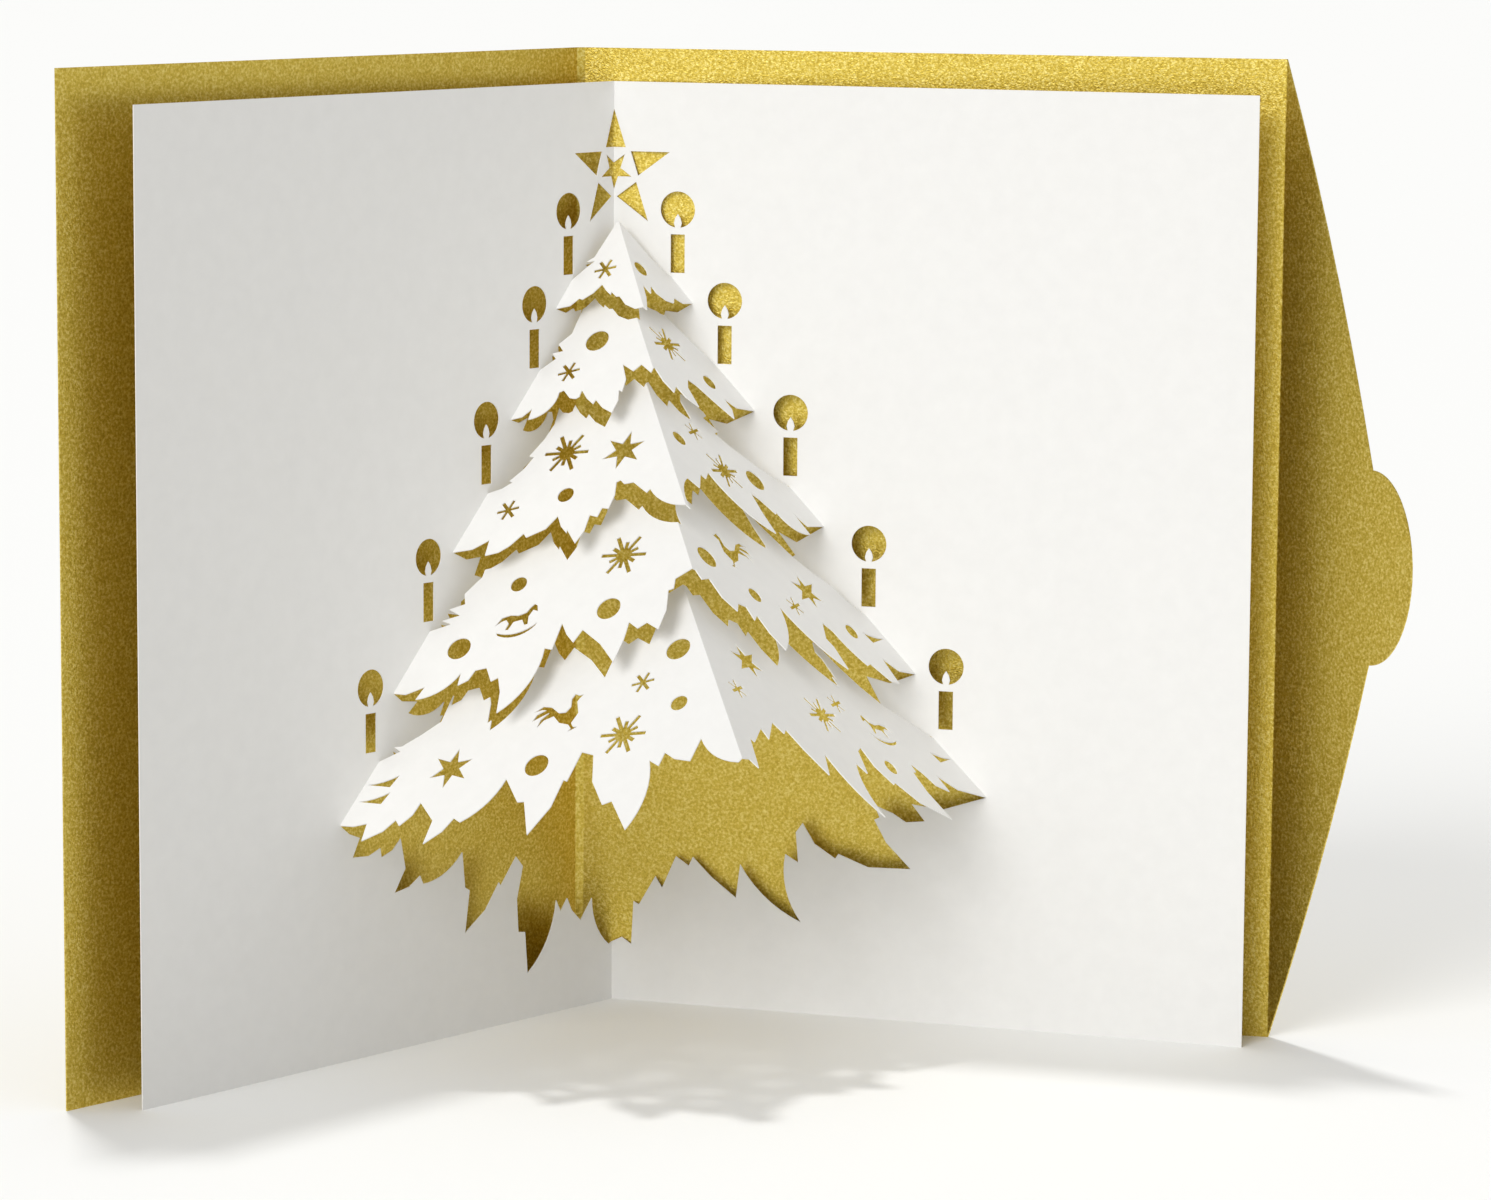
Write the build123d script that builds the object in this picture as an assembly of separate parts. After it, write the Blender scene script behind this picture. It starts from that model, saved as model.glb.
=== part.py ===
from build123d import *
import os
from collections import namedtuple
from math import atan, cos, degrees, radians, sin, tan

# Pop-up tree card: a white cut-and-folded sheet that stands in a gold cover with a closing flap.
# Millimetres and degrees. +Z is up, the card opens towards -Y, the origin is at the foot of the spine.

# Gold cover
cover_paper = 0.3  # thickness of the card
cover_height = 176
cover_panel = 128.5  # back panel on the right, from its spine crease to the flap's crease
front_panel = 125.5  # front panel on the left, from its spine crease to its free edge
cover_opening = 117.5  # angle between the two panels
spine_width = 1.6  # strip between the two spine creases
fold_radius = 0.6  # middle of the card at a crease
flap_bend = 36.5  # how far the flap turns forward out of its panel
flap_depth = 23  # from the crease to the foot of the tab
flap_bow = 1.2  # bow of the flap's long edges
tab_height = 34.5
tab_reach = 10
slit_width = 0.8  # slit in the front panel that takes the tab
slit_play = 1.5  # slit past each end of the tab

# White sheet and its place in the cover
sheet_paper = 0.2  # thickness of the card
sheet_height = 170
sheet_panel = 120  # one panel, from the gutter to its far edge
lean_left = 1.4  # angle between the white and the gold panel on the left
lean_right = 4.5
gutter_step = 5.6  # gutter from the spine, along the right gold panel
clearance = 0.15  # behind the gutter

# The tree fills the height of the sheet between these margins
top_margin = 4.8
foot_margin = 8.4

# Candles beside the tree
candle_width = 2.7
candle_length = 7
halo_gap = 1.2  # bridge between the candle and its halo
halo_radius = 3.3
flame_height = 2.5
flame_width = 1.5
wick_width = 0.6

# Star on the tree's top
star_radius = 11.333  # as drawn, it grows with the tree
star_web = 0.7

# Branches and their cut-outs
tier_gap = 0.7  # strip that falls out under the fringe of the tier above
lowest_gap = 2  # the same strip over the lowest tier
bauble_large = 2.3
bauble_small = 1.6
flake_long = 4.5
flake_short = 2.9
flake_arm = 0.8  # width of an arm
sparkle_long = 2.2
sparkle_arm = 0.65
sparkle_turn = 43
branch_star_tip = 4.3
branch_star_waist = 1.7
horse_length = 8.4
horse_tilt = 15  # the horses lean down the branch
rooster_length = 10.4
sliver_length = 6.2  # slivers beside the lower creases
sliver_width = 3.2

# Angles worked out from the sizes above
half_cover = cover_opening / 2
half_sheet = (cover_opening - lean_left - lean_right) / 2

Soft = namedtuple("Soft", "s z")  # a point that the edge passes in an arc
Tier = namedtuple("Tier", "apex slope tips gap side right hole fringe candle cutouts")


def outline(points):
    """Face inside the closed line through the points, with an arc where a Soft point lies on the way."""
    edges = []
    start = points[0]
    middle = None
    for point in points[1:] + points[:1]:
        if isinstance(point, Soft):
            middle = point
            continue
        if middle:
            edges.append(ThreePointArc(tuple(start), tuple(middle), tuple(point)))
        else:
            edges.append(Line(start, point))
        start, middle = point, None
    return make_face(edges)


def mirrored(face):
    return mirror(face, about=Plane.YZ)


def ring(count, radius, start=90):
    """Points spread evenly on a circle."""
    angles = [radians(start + 360 * i / count) for i in range(count)]
    return [(radius * cos(a), radius * sin(a)) for a in angles]


def spiked(count, tip, waist, start=90):
    """Star with straight edges."""
    tips = ring(count, tip, start)
    waists = ring(count, waist, start + 180 / count)
    return outline([p for pair in zip(tips, waists) for p in pair])


def big_bauble():
    return Circle(bauble_large)


def small_bauble():
    return Circle(bauble_small)


def snowflake():
    """Six long and six short arms."""
    pair = Rectangle(2 * flake_long, flake_arm) + Rot(0, 0, 90) * Rectangle(2 * flake_short, flake_arm)
    return Rot(0, 0, 30) * pair + Rot(0, 0, 90) * pair + Rot(0, 0, 150) * pair


def sparkle():
    """Small snowflake with six arms."""
    arm = Rectangle(2 * sparkle_long, sparkle_arm)
    return Rot(0, 0, sparkle_turn) * (arm + Rot(0, 0, 60) * arm + Rot(0, 0, 120) * arm)


def branch_star():
    return spiked(6, branch_star_tip, branch_star_waist, -5)


def sized(drawing, length):
    return scale(drawing, by=length / drawing.bounding_box().size.X)


def horse():
    """Rocking horse that looks to the right, on its rocker."""
    body = outline([
        (3.6, 0.7), (3.5, 1.9), (3.0, 2.4), (2.3, 1.9), (1.6, 1.1), (0.2, 0.9), (-1.2, 1.4),
        (-2.7, 1.3), (-3.9, -0.1), (-2.7, 0.5), (-1.9, 0.6), (-1.5, -0.2), (-2.1, -1.4),
        (-1.5, -1.5), (-0.6, -0.2), (0.9, -0.2), (1.3, -1.4), (1.9, -1.4), (2.0, 0.1), (2.8, 1.2),
    ])
    rocker = outline([(-3.6, -1.5), Soft(0, -2.6), (3.6, -1.6), (3.3, -2.1), Soft(0, -3.3), (-3.4, -2.1)])
    return Rot(0, 0, -horse_tilt) * sized(body + rocker, horse_length)


def rooster():
    """Rooster that looks to the right, with three tail feathers."""
    bird = outline([
        (4.0, 2.0), (3.2, 2.3), (2.7, 3.0), (1.9, 2.4), (1.4, 0.9), (0.3, 0.3), (-0.8, 0.9),
        (-1.6, 2.8), (-2.8, 3.8), (-4.6, 3.5), (-3.2, 3.2), (-2.6, 2.8), (-4.2, 2.8), (-5.3, 1.9),
        (-2.3, 1.9), (-3.9, 1.4), (-4.9, 0.1), (-3.4, 0.9), (-1.7, 0.7), (-1.2, -1.2), (0.1, -2.5),
        (0.3, -3.5), (-0.4, -3.9), (1.4, -3.9), (0.7, -3.4), (0.6, -2.5), (2.2, -1.2), (2.6, 1.2),
        (3.1, 1.6),
    ])
    return sized(bird, rooster_length)


def sliver():
    """Pointed cut that falls to the left of its crease."""
    half = sliver_length / 2
    rise = sliver_width / 2
    return outline([(-half, 0), Soft(0, rise / 4), (half, rise), (-half / 4, -rise)])


def facing_left(figure):
    return lambda: mirrored(figure())


# Tiers of branches, drawn on the flat sheet: s from the gutter, z above the foot of the sheet.
# A tier hinges on two creases that run down from an apex on the gutter, slope millimetres to the side
# for each millimetre of height, to the heights of its left and right tips. Both its sides are cut, from
# under the tier above down to the crease, and on the right the branch itself is cut closer than its hole
# and a strip falls out. A bare number is a height on the crease. The gap is the strip that falls out
# under the tier above. The fringe runs from the left to the right tip.
# The candle is the foot of the right one.
star_tip = (0, 165.2)
tiers = [
    Tier(
        apex=147.5,
        slope=0.872,
        tips=(129.5, 130),
        gap=0,
        side=[(0.4, 142.8), (4.9, 138.4), (6.1, 137.2), (7.8, 137), (6.3, 136.2), (8, 135.7), 134.3],
        right=[(0.4, 142.8), (4.9, 138.4), (6.4, 136.8), (8, 135.7), 134.3],
        hole=[(0.4, 142.8), (4.9, 138.4), (6.1, 137.2), (7.8, 137), 134.3],
        fringe=[
            (-13, 128.6), (-11, 129.3), (-10.5, 128.7), (-8.2, 129), (-6.2, 130), (-5.8, 128.2),
            (-5.2, 126.6), (-4.9, 127.2), (-4.3, 125.6), (-3.7, 125.3), (-3.1, 122.8), (-1.6, 120.7),
            (0.8, 119.8), (1.6, 123.5), (1.7, 127.1), (3.4, 125.7), (4, 128.3), (5.2, 126.8),
            (7.5, 126.2), (9.5, 126.7), (10.1, 128.5), (12.4, 128.3),
        ],
        candle=(12.4, 135.5),
        cutouts=[(sparkle, -4.8, 133.2), (small_bauble, 2.5, 131.7)],
    ),
    Tier(
        apex=140,
        slope=0.936,
        tips=(110.3, 110.8),
        gap=tier_gap,
        side=[
            (8.2, 132), (8.5, 130), (9.1, 128), (12.3, 123.5), (15.2, 122.6), (14.8, 120.4),
            (16.8, 121.1), (16.5, 119.4), 118.6,
        ],
        right=[(1.5, 124.6), (8.8, 126.1), (12.3, 123.5), (15.2, 121.6), 118.6],
        hole=[(8.2, 132), (9.1, 128), (12.3, 123.5), (15.2, 122.6), (16.8, 121.1), 118.6],
        fringe=[
            (-25.6, 109.6), (-23.3, 110.3), (-24.6, 108.2), Soft(-20.3, 108.3), (-17.7, 111),
            (-16.8, 110.9), (-16.2, 108.4), (-15.2, 107.5), (-14.4, 107.5), (-13.6, 108.7),
            (-13.2, 106.2), (-12.4, 104.1), (-11.7, 104.8), (-11, 102.2), (-9.6, 99.8), (-7.8, 102),
            (-7.1, 104.3), (-6.7, 103.5), (-5.3, 106), (-5, 109.9), (-3.6, 107.1), (-1.8, 107.7),
            (-0.6, 104.6), (0.6, 106), (1.9, 103.1), (4.1, 101.3), (5.2, 103.8), (7.3, 101.9),
            (10.2, 101.2), (8.7, 105.5), (9.5, 108.4), (11.5, 108.1), (16.3, 105.7), (20, 104.1),
            (20.2, 106.8), (18.6, 109), (22, 108.3),
        ],
        candle=(21.5, 119.2),
        cutouts=[
            (big_bauble, -8.2, 118.7), (sparkle, -14.9, 114.7), (snowflake, 6.8, 116.5),
            (small_bauble, 16, 111.7),
        ],
    ),
    Tier(
        apex=133.3,
        slope=0.945,
        tips=(87.8, 90.3),
        gap=tier_gap,
        side=[
            (15.2, 112), (18.3, 105.9), (20.9, 103.5), (24.5, 101.3), (23.7, 100.5), (26.3, 98.8),
            (29.3, 97.8), (28.8, 97.1), (31, 96.9), 97.5,
        ],
        right=[
            (12.6, 109.2), (15.1, 105.1), (13.9, 103.8), (17.4, 102.2), (15.9, 100.8), (19.5, 99.3),
            (26, 97.6), 97,
        ],
        hole=[(15.2, 112), (18.3, 105.9), (24.5, 101.3), (29.3, 97.8), (31, 96.9), 97.5],
        fringe=[
            (-39.4, 86.2), (-35.8, 86.3), (-37.4, 83.2), (-34.9, 82.4), (-32.6, 82.6), (-29.5, 83.8),
            (-29.3, 82.6), (-25.4, 82.3), (-22.6, 83.8), (-22.6, 81), (-22, 78.8), (-21.7, 79.5),
            (-21.1, 75.5), (-18.8, 77.3), (-17, 80.3), (-15.8, 79), (-14.5, 80.5), (-13.4, 79.6),
            (-11.6, 82), (-10.6, 84.8), (-9.8, 84.8), (-9.4, 83.5), (-7.7, 82.8), (-6, 78.8),
            (-5.2, 79.3), Soft(-3.9, 75.4), (1, 71), Soft(1, 76.6), (3.3, 80.7), (5.9, 79.6),
            (7.5, 84.4), (8.7, 83.8), (10, 86.4), Soft(15.5, 81.5), (24.7, 78.8), (22.6, 83),
            (21, 87.6), (23.3, 87.1), (26.8, 85.3), (27, 86.2), Soft(30.6, 83.9), (35.3, 84.9),
            (32.1, 88.9), (35.5, 87.2),
        ],
        candle=(34.2, 99.3),
        cutouts=[
            (snowflake, -17.7, 97.6), (branch_star, -7.6, 91.4), (small_bauble, -20.1, 87.8),
            (sparkle, -31, 91.1), (small_bauble, 4.6, 92.3), (sparkle, 9.7, 97.4),
            (snowflake, 15.2, 90), (big_bauble, 23.8, 92.7),
        ],
    ),
    Tier(
        apex=126.7,
        slope=0.933,
        tips=(64.2, 64.2),
        gap=tier_gap,
        side=[
            (30, 90.5), (35, 83.8), (36.9, 80.7), (40.9, 78.8), (41.3, 76.4), (44.4, 77), (42.8, 74.4),
            (46.2, 75.2), (44.8, 73.4), 74.2,
        ],
        right=[
            (20.5, 88), (24.4, 84.7), (31.6, 80.3), (36.5, 78.6), (41, 77.8), (44.4, 75.6), 74.2,
        ],
        hole=[(30, 90.5), (35, 83.8), (36.9, 80.7), (40.9, 78.8), (44.4, 77), (46.2, 75.2), 74.2],
        fringe=[
            (-56.2, 62.6), (-52.3, 62.1), (-54.6, 60.3), Soft(-49.2, 59.6), (-45.3, 61.2),
            (-46.5, 58.8), (-44.4, 58.8), (-42.7, 60.2), (-40.6, 59.5), (-40.5, 56), (-39, 56),
            (-39.4, 52.5), (-41, 48.3), Soft(-34.2, 51.2), (-29.5, 57.4), (-28.3, 56.3), (-25.2, 61),
            (-25, 58), (-24.3, 55.5), (-22, 57.3), (-19.7, 52.2), (-18.4, 46.7), (-15.4, 50.6),
            (-13.6, 53.8), (-12.5, 51.5), (-10.6, 51.8), (-9, 49), (-6.6, 52.4), (-5.2, 56.6),
            (-4.2, 56.4), (-3.4, 58.4), (0.8, 58.9), (1.8, 57), (4, 58.5), (6.1, 54.9), (9.4, 53.1),
            (10.3, 55.7), (12.4, 56), (13.7, 53.2), (14.8, 55.2), (17, 51.8), (20.2, 49.2),
            Soft(22.6, 55.5), (22.3, 62.1), Soft(28, 57.6), (37.4, 53.9), (35.2, 58.4), (33.6, 59.7),
            (34.1, 64.3), (36.6, 63.4), Soft(40, 60.6), (44, 58.5), (45, 59.5), (49.7, 57.6),
            (52, 58.1), (49.1, 63.3), (53.5, 62.3),
        ],
        candle=(49.3, 76.1),
        cutouts=[
            (small_bauble, -30.8, 74.8), (horse, -32.9, 66.8), (big_bauble, -44.5, 66.9),
            (snowflake, -11, 69.5), (big_bauble, -16.4, 59.1), (big_bauble, 5.4, 64.9),
            (facing_left(rooster), 13.4, 70.8), (small_bauble, 16.2, 61.2), (branch_star, 32.6, 71.5),
            (sparkle, 27.4, 64.7), (small_bauble, 42.5, 66.6), (sliver, 48.8, 68.3),
        ],
    ),
    Tier(
        apex=115.2,
        slope=0.988,
        tips=(42.4, 42.4),
        gap=lowest_gap,
        side=[
            (40, 66), (44.8, 60), (49, 54.2), (53.4, 53.5), (57.2, 53.2), (58.6, 54), (57.7, 52.2), 52.4,
        ],
        right=[(33, 66), (36.5, 61), (39.5, 58.6), (44, 56), (48.8, 54.1), (57.2, 53.2), 52.4],
        hole=[(40, 66), (44.8, 61.5), (49, 58.5), (53.5, 56.6), (57, 54.6), 53],
        fringe=[
            (-69.6, 40.6), (-67, 39.6), (-68.8, 36.3), (-64.6, 36), (-61.8, 37), (-61.5, 35.3),
            (-58.6, 36.2), (-56.6, 38), (-55.4, 32.5), (-58.2, 28.4), (-54.3, 29), (-51.6, 30.6),
            (-50.8, 29), Soft(-45, 30.2), (-40.6, 33.3), (-39.9, 26.8), (-38.7, 26.1), (-39.9, 18.4),
            (-34.4, 21.9), (-30.9, 26.4), (-30.4, 25.7), (-26.3, 30.5), (-24.5, 28.5), (-26.1, 22.6),
            (-25.7, 16.5), (-23.9, 16.2), (-23.2, 8.4), Soft(-18, 13.6), (-15.4, 20.8), (-14.2, 18.6),
            (-12.4, 20.8), (-11.2, 18.4), (-8.7, 16.1), (-5.6, 19.8), Soft(-4.4, 14.6), (-0.8, 10.4),
            (2, 11.8), (3.9, 10.6), (4.3, 18.7), (5.4, 18.2), (8.6, 23.7), (9.9, 21.6), (12.6, 27.7),
            (15.1, 26.1), (15.9, 27.8), (19.5, 24.3), (24.3, 20.7), (25.1, 27), Soft(28.8, 22.3),
            (36.9, 17), Soft(33.9, 23.2), (33.8, 29.5), (36.3, 28.1), (35.8, 33.7), (37.1, 35.5),
            (39.4, 31.8), (43.4, 29.3), (44, 30.2), (49.7, 28.1), (57.8, 28.3), (53.1, 32.9), (50.8, 37),
            (51.8, 37.5), (50.8, 39.7), (54.3, 38.4), (56.8, 36.9), (60.4, 37.3), (57.9, 40.3),
            (63.5, 39.6),
        ],
        candle=(64.1, 54.4),
        cutouts=[
            (branch_star, -49.6, 42.2), (big_bauble, -34.7, 32.8), (rooster, -27.3, 41.1),
            (snowflake, -18.4, 29.7), (sparkle, -12.2, 39.1), (big_bauble, -4.4, 42.5),
            (small_bauble, -7.3, 30.2), (branch_star, 11.4, 43.1), (sparkle, 5.7, 32.3),
            (snowflake, 28.8, 39.3), (sparkle, 34.3, 45.6), (facing_left(horse), 44.9, 45),
            (small_bauble, 44.4, 34.5), (sliver, 61.8, 47.1), (facing_left(sliver), -62, 46.8),
            (facing_left(sliver), -64.4, 44),
        ],
    ),
]

# The drawing is scaled so that it keeps the two margins on the sheet
drawn_foot = min(point[1] for tier in tiers for point in tier.fringe)
tree_scale = (sheet_height - top_margin - foot_margin) / (star_tip[1] - drawn_foot)


def fitted(s, z):
    """Place on the sheet of a point of the drawing."""
    return s * tree_scale, foot_margin + (z - drawn_foot) * tree_scale


def placed(point):
    place = fitted(*point)
    return Soft(*place) if isinstance(point, Soft) else place


def edge(tier, side, points):
    """Cut side of a tier on the sheet (1 right, -1 left), with its bare heights put on the crease."""
    path = [p if isinstance(p, tuple) else ((tier.apex - p) * tier.slope, p) for p in points]
    return [fitted(side * s, z) for s, z in path]


def wedge(tier, right):
    """Flat outline of a tier with a given right side, and with the part that the tier above covers."""
    left_tip, right_tip = tier.tips
    fringe = [placed(point) for point in tier.fringe]
    left_edge = edge(tier, -1, tier.side + [left_tip])
    right_edge = edge(tier, 1, right + [right_tip])
    return outline(left_edge + fringe + right_edge[::-1])


def candle(tier):
    """Candle with a round halo, and a flame that stays white in it."""
    place, foot = fitted(*tier.candle)
    halo = foot + candle_length + halo_gap + halo_radius
    rim = halo - halo_radius
    flame = outline([
        (-wick_width / 2, rim - halo_gap / 2), (-flame_width / 2, rim + flame_height / 3),
        (-flame_width / 3, rim + flame_height * 0.7), (0, rim + flame_height),
        (flame_width / 3, rim + flame_height * 0.7), (flame_width / 2, rim + flame_height / 3),
        (wick_width / 2, rim - halo_gap / 2),
    ])
    body = Pos(0, foot + candle_length / 2) * Rectangle(candle_width, candle_length)
    return Pos(place, 0) * (Pos(0, halo) * Circle(halo_radius) - flame + body)


def top_star():
    """Five points round a white pentagon, with a small star upside down in it."""
    radius = star_radius * tree_scale
    pentagon = radius * sin(radians(18)) / cos(radians(36))
    base = pentagon * cos(radians(36)) + star_web
    half = (radius - base) * tan(radians(18))
    point = outline([(0, radius), (-half, base), (half, base)])
    inner = pentagon - star_web
    star = spiked(5, inner, inner * sin(radians(18)) / cos(radians(36)), -90)
    for i in range(5):
        star += Rot(0, 0, 72 * i) * point
    return Pos(0, sheet_height - top_margin - radius) * star


def leaf(flat, side):
    """One half of a flat drawing, as card that reaches a little past the gutter."""
    centre = Pos(side * (sheet_panel - sheet_paper) / 2, sheet_height / 2)
    strip = centre * Rectangle(sheet_panel + sheet_paper, sheet_height)
    return extrude(flat & strip, amount=sheet_paper / 2, both=True)


def folded_half(panel, branches, side):
    """Panel and branches of one side (1 right, -1 left), each tier turned forward about its crease."""
    opening = radians(half_sheet)
    half = leaf(panel, side)
    for tier, branch in zip(tiers, branches):
        crease = Axis((*fitted(0, tier.apex), 0), (side * tier.slope, -1, 0))
        fold = 2 * degrees(atan(1 / (tan(opening) * cos(atan(tier.slope)))))
        half += leaf(branch, side).rotate(crease, -side * fold)
    across = (sin(opening), -side * cos(opening), 0)
    facing = (-side * cos(opening), -sin(opening), 0)
    half = Plane((0, 0, 0), x_dir=across, z_dir=facing) * half
    return split(half, Plane.YZ, keep=Keep.TOP if side > 0 else Keep.BOTTOM)


def white_sheet():
    """The sheet is drawn flat, cut and folded, with its gutter on the Z axis and its opening to -Y."""
    panel = Pos(0, sheet_height / 2) * Rectangle(2 * sheet_panel, sheet_height) - top_star()
    branches = []
    above = None
    for tier in tiers:
        hole = wedge(tier, tier.hole)
        panel -= [hole, candle(tier), mirrored(candle(tier))]
        branch = wedge(tier, tier.right)
        if above:
            branch -= [above, Pos(0, -tier.gap) * above]
        branch -= [Pos(*fitted(s, z)) * cutout() for cutout, s, z in tier.cutouts]
        branches.append(branch)
        above = hole
    return folded_half(panel, branches, 1) + folded_half(panel, branches, -1)


def heading(angle):
    """Level direction at an angle from -Y towards +X."""
    return Vector(sin(radians(angle)), -cos(radians(angle)), 0)


# Plan of the cover, from the front panel round the spine to the flap
spine_left = Vector(-spine_width / 2, 0, 0)
spine_right = Vector(spine_width / 2, 0, 0)
front_heading = heading(-half_cover)
flap_heading = heading(half_cover - flap_bend)
front_end = spine_left + front_heading * front_panel
panel_end = spine_right + heading(half_cover) * cover_panel
flap_end = panel_end + flap_heading * (flap_depth + tab_reach)


def flap_outline():
    """Flap from its crease, with bowed long edges and a half oval tab in the middle."""
    middle = cover_height / 2
    tab_top = middle + tab_height / 2
    run = cover_height - tab_top
    edge = (flap_depth ** 2 + run ** 2) ** 0.5
    bow = (flap_depth / 2 + flap_bow * run / edge, cover_height - run / 2 + flap_bow * flap_depth / edge)
    flap = outline([
        (0, 0), Soft(bow[0], cover_height - bow[1]), (flap_depth, cover_height - tab_top),
        (flap_depth, tab_top), Soft(*bow), (0, cover_height),
    ])
    return flap + Pos(flap_depth, middle) * Ellipse(tab_reach, tab_height / 2)


def through(flat, start, direction):
    """Cutter for a flat drawing that stands on an upright panel, right through the card."""
    face = Plane(start, x_dir=direction, z_dir=direction.cross(Vector(0, 0, 1)))
    return extrude(face * flat, amount=2 * cover_paper, both=True)


def gold_cover():
    """One sheet with two panels, a narrow spine and a flap, and a slit in the front panel for the tab."""
    corners = [front_end, spine_left, spine_right, panel_end, flap_end]
    path = FilletPolyline(*corners, radius=fold_radius)
    cover = extrude(trace(path, cover_paper), amount=cover_height)
    reach = flap_depth + tab_reach
    waste = Pos(reach, cover_height / 2) * Rectangle(2 * reach, cover_height) - flap_outline()
    slit = Rectangle(slit_width, tab_height + 2 * slit_play)
    slit = Pos(cover_panel - flap_depth, cover_height / 2) * slit
    cover -= through(waste, panel_end, flap_heading)
    cover -= through(slit, spine_left, front_heading)
    return cover


def stood_in_cover(sheet):
    """The white sheet leans its gutter on the right gold panel, close to the spine."""
    off = cover_paper / 2 + clearance + sheet_paper / 2 / sin(radians(half_sheet))
    gutter = spine_right + heading(half_cover) * gutter_step + heading(half_cover - 90) * off
    return Pos(gutter) * Rot(0, 0, (lean_left - lean_right) / 2) * sheet


os.makedirs("parts", exist_ok=True)
export_step(gold_cover(), "parts/gold_cover.step")
export_step(stood_in_cover(white_sheet()), "parts/white_tree.step")
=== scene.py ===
from math import cos, radians, sin

import bpy
from mathutils import Matrix, Vector

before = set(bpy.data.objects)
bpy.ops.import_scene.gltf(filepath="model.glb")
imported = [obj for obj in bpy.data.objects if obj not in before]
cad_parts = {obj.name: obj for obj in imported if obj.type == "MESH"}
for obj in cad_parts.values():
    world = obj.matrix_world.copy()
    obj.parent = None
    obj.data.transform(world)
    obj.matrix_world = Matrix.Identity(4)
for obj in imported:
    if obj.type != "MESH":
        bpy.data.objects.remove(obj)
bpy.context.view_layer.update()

# Pop-up tree card in metres: a white folded sheet that stands in a gold folded cover.
MM = 0.001

# The photograph's width and its lens in pixels, and the camera that was fitted to the card's corners, with
# its angles in degrees
PHOTO_WIDTH = 1491
FOCAL_PIXELS = 5536
SENSOR_MM = 36
CAMERA_PLACE = Vector((-271.2, -973.5, 218.5)) * MM
CAMERA_YAW = 17.3
CAMERA_PITCH = 8.1
CAMERA_ROLL = 0.37

# Light: the room's even glow, the key light, and the light on the floor alone. A lamp's spread is in degrees,
# and it shines from its point to the origin.
ROOM_GLOW = 0.53
KEY_STRENGTH = 1.43
KEY_SPREAD = 30
KEY_FROM = Vector((-1.25, -1.15, 0.97))
SHADOW_STRENGTH = 1.1
SHADOW_SPREAD = 5
SHADOW_FROM = Vector((0, 0.23, 1))

# The floor's half width, the colour that the camera sees, and the darker one that lights the card
FLOOR_REACH = 12
FLOOR_SEEN = "#F4F4F2"
FLOOR_BOUNCE = "#CECECC"


def linear(hex_colour):
    """Linear RGBA from an sRGB hex value."""
    channels = [int(hex_colour[i:i + 2], 16) / 255 for i in (1, 3, 5)]
    return [c / 12.92 if c <= 0.04045 else ((c + 0.055) / 1.055) ** 2.4 for c in channels] + [1]


def add(tree, kind, inputs=None, **settings):
    """Adds a node with its settings. An input is a value, or a socket that is linked to it."""
    node = tree.nodes.new(kind)
    for name, value in settings.items():
        setattr(node, name, value)
    for name, value in (inputs or {}).items():
        if isinstance(value, bpy.types.NodeSocket):
            tree.links.new(value, node.inputs[name])
        else:
            node.inputs[name].default_value = value
    return node


def empty_material(name):
    """New material and its node tree, which is still empty."""
    material = bpy.data.materials.new(name)
    material.use_nodes = True
    material.node_tree.nodes.clear()
    return material, material.node_tree


def noise(tree, place, size_mm, detail):
    """Noise whose lumps are about size_mm across."""
    settings = {"Vector": place, "Scale": 1 / (size_mm * MM), "Detail": detail, "Roughness": 0.6}
    return add(tree, "ShaderNodeTexNoise", settings).outputs["Fac"]


def ramp(tree, fac, stops):
    """Colour ramp from (position, hex) stops."""
    node = add(tree, "ShaderNodeValToRGB", {"Fac": fac})
    elements = node.color_ramp.elements
    while len(elements) < len(stops):
        elements.new(0.5)
    for element, (position, colour) in zip(elements, stops):
        element.position = position
        element.color = linear(colour)
    return node.outputs["Color"]


def between(tree, fac, low, high):
    """The factor's middle part, 0.3 to 0.7, spread from low to high."""
    spread = {"Value": fac, "From Min": 0.3, "From Max": 0.7, "To Min": low, "To Max": high}
    return add(tree, "ShaderNodeMapRange", spread).outputs["Result"]


def pearl_gold_card():
    """Card coated with gold pearl pigment: flat flakes in clumps, so it shines softly and sparkles."""
    material, tree = empty_material("pearl_gold_card")
    place = add(tree, "ShaderNodeTexCoord").outputs["Object"]
    clumps = noise(tree, place, 0.5, 2)
    # Real flakes are under 0.1 mm, and are drawn coarser to show
    flakes = noise(tree, place, 0.3, 1)
    colour = ramp(tree, clumps, [(0.3, "#BEA13C"), (0.5, "#D9BF53"), (0.7, "#F3E18A")])
    bump = add(tree, "ShaderNodeBump", {"Height": flakes, "Strength": 0.9, "Distance": 0.08 * MM})
    surface = add(tree, "ShaderNodeBsdfPrincipled", {
        "Base Color": colour,
        "Metallic": 0.97,
        "Roughness": between(tree, clumps, 0.34, 0.48),
        "Normal": bump.outputs["Normal"],
    })
    add(tree, "ShaderNodeOutputMaterial", {"Surface": surface.outputs["BSDF"]})
    return material


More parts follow.
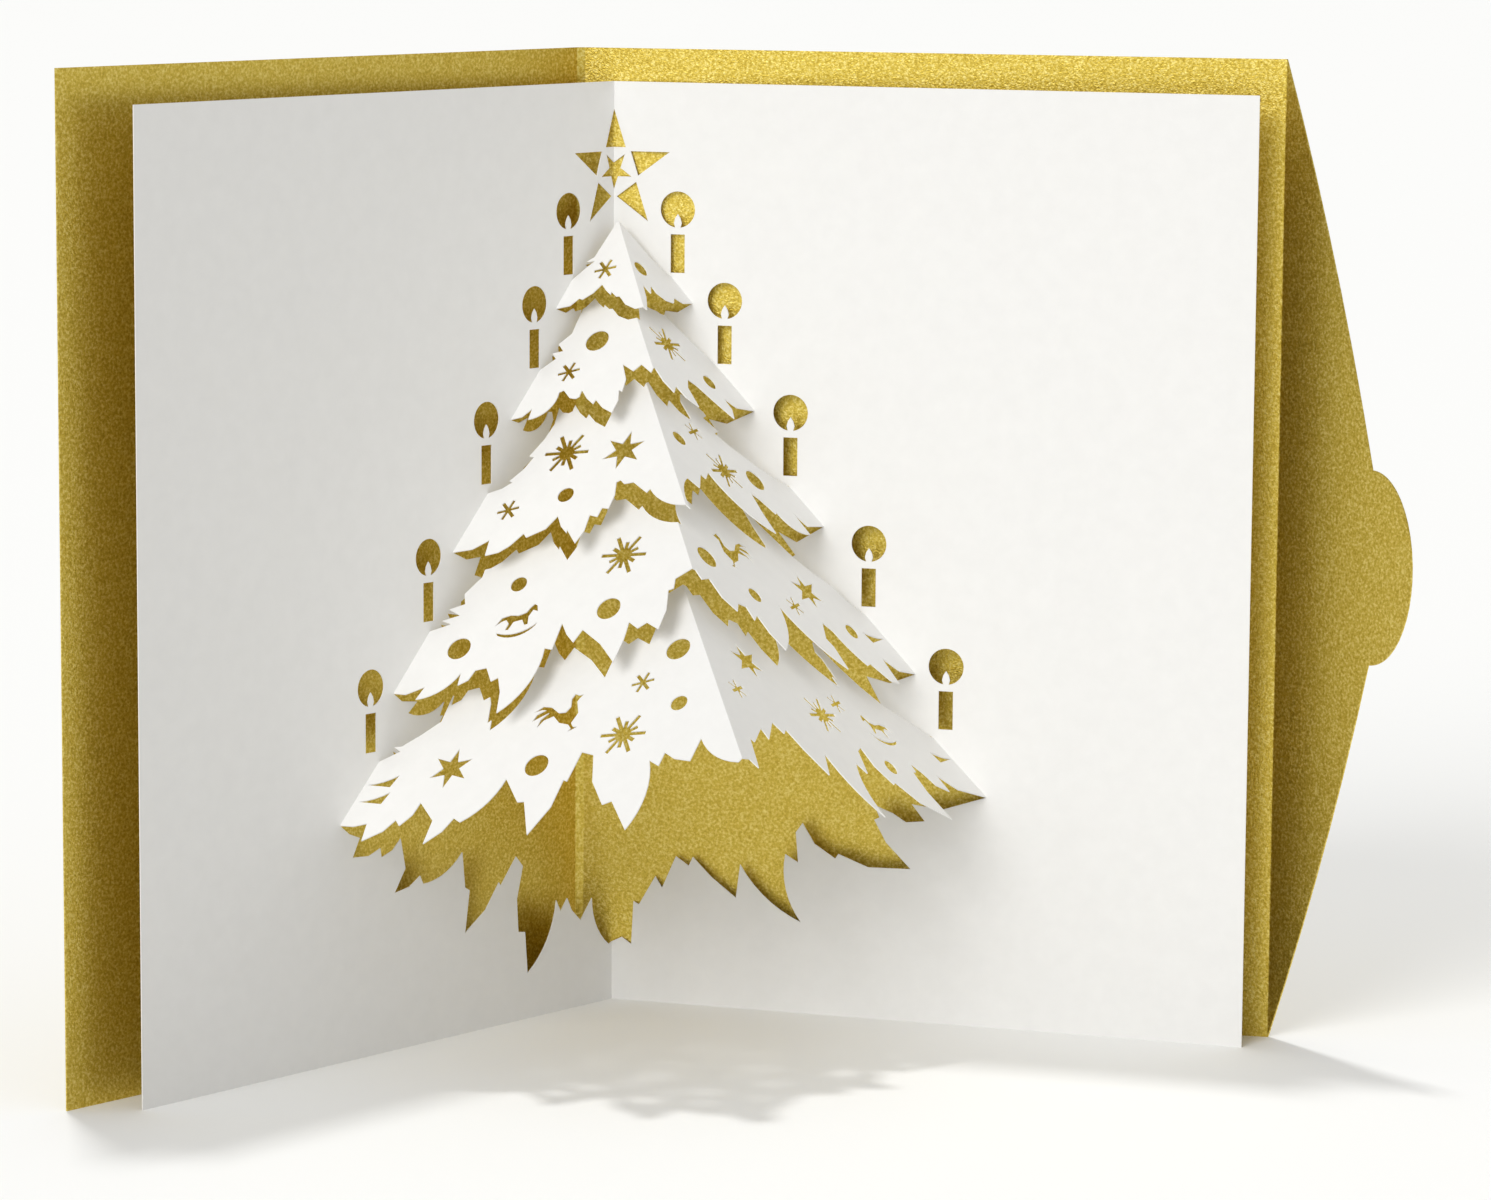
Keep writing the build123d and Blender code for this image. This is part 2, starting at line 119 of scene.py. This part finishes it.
def smooth_white_card():
    """Uncoated bristol board, calendered smooth: matt, a little warm, with a faint fibre cloud."""
    material, tree = empty_material("smooth_white_card")
    place = add(tree, "ShaderNodeTexCoord").outputs["Object"]
    cloud = noise(tree, place, 3.5, 4)
    fibre = noise(tree, place, 0.35, 2)
    colour = ramp(tree, cloud, [(0.3, "#F6F5F2"), (0.7, "#F9F8F5")])
    bump = add(tree, "ShaderNodeBump", {"Height": fibre, "Strength": 0.15, "Distance": 0.02 * MM})
    surface = add(tree, "ShaderNodeBsdfPrincipled", {
        "Base Color": colour,
        "Roughness": 0.75,
        "Specular IOR Level": 0.3,
        "Normal": bump.outputs["Normal"],
    })
    add(tree, "ShaderNodeOutputMaterial", {"Surface": surface.outputs["BSDF"]})
    return material


def dress(node, material):
    """Gives a CAD node its finish."""
    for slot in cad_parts[node].material_slots:
        slot.material = material


def paper_sweep():
    """Pale studio floor that fills the view. Its bounce is held down, so the panels stay below white."""
    material, tree = empty_material("pale_floor")
    ray = add(tree, "ShaderNodeLightPath").outputs
    seen = ray["Is Camera Ray"]
    for way in ("Is Glossy Ray", "Is Transmission Ray"):
        seen = add(tree, "ShaderNodeMath", {0: seen, 1: ray[way]}, operation="MAXIMUM").outputs["Value"]
    colour = ramp(tree, seen, [(0, FLOOR_BOUNCE), (1, FLOOR_SEEN)])
    surface = add(tree, "ShaderNodeBsdfPrincipled", {"Base Color": colour, "Roughness": 0.9})
    add(tree, "ShaderNodeOutputMaterial", {"Surface": surface.outputs["BSDF"]})
    mesh = bpy.data.meshes.new("floor")
    corners = [(x * FLOOR_REACH, y * FLOOR_REACH, 0) for x, y in ((-1, -1), (1, -1), (1, 1), (-1, 1))]
    mesh.from_pydata(corners, [], [(0, 1, 2, 3)])
    mesh.materials.append(material)
    floor = bpy.data.objects.new("floor", mesh)
    bpy.context.collection.objects.link(floor)
    return floor


def sun(name, strength, spread, place):
    """Far lamp that shines from its place to the origin."""
    lamp = bpy.data.lights.new(name, "SUN")
    lamp.energy = strength
    lamp.angle = radians(spread)
    holder = bpy.data.objects.new(name, lamp)
    holder.location = place
    holder.rotation_euler = (-place).to_track_quat("-Z", "Y").to_euler()
    bpy.context.collection.objects.link(holder)
    return holder


def key_light():
    """Wide soft light from the front on the left, above the card."""
    sun("key", KEY_STRENGTH, KEY_SPREAD, KEY_FROM)


def shadow_light(floor):
    """Light from high up behind the card, on the floor alone, so that the card's shadow lies in front."""
    receivers = bpy.data.collections.new("lit_by_shadow_light")
    receivers.objects.link(floor)
    holder = sun("shadow_light", SHADOW_STRENGTH, SHADOW_SPREAD, SHADOW_FROM)
    holder.light_linking.receiver_collection = receivers


def studio_room():
    """Even light from all round, as in a white photo tent."""
    world = bpy.data.worlds.new("studio_room")
    bpy.context.scene.world = world
    world.use_nodes = True
    tree = world.node_tree
    tree.nodes.clear()
    glow = add(tree, "ShaderNodeBackground", {"Color": linear("#FFFFFF"), "Strength": ROOM_GLOW})
    add(tree, "ShaderNodeOutputWorld", {"Surface": glow.outputs["Background"]})


def camera():
    """The photograph's camera."""
    yaw, pitch, roll = radians(CAMERA_YAW), radians(CAMERA_PITCH), radians(CAMERA_ROLL)
    forward = Vector((sin(yaw) * cos(pitch), cos(yaw) * cos(pitch), -sin(pitch)))
    level = Vector((cos(yaw), -sin(yaw), 0))
    upright = level.cross(forward)
    right = level * cos(roll) + upright * sin(roll)
    up = upright * cos(roll) - level * sin(roll)
    data = bpy.data.cameras.new("camera")
    data.sensor_width = SENSOR_MM
    data.lens = SENSOR_MM * FOCAL_PIXELS / PHOTO_WIDTH
    data.clip_end = 4 * FLOOR_REACH
    holder = bpy.data.objects.new("camera", data)
    turn = Matrix((right, up, -forward)).transposed().to_4x4()
    holder.matrix_world = Matrix.Translation(CAMERA_PLACE) @ turn
    bpy.context.collection.objects.link(holder)
    bpy.context.scene.camera = holder


dress("gold_cover", pearl_gold_card())
dress("white_tree", smooth_white_card())
floor = paper_sweep()
studio_room()
key_light()
shadow_light(floor)
camera()
bpy.context.scene.view_settings.view_transform = "Standard"
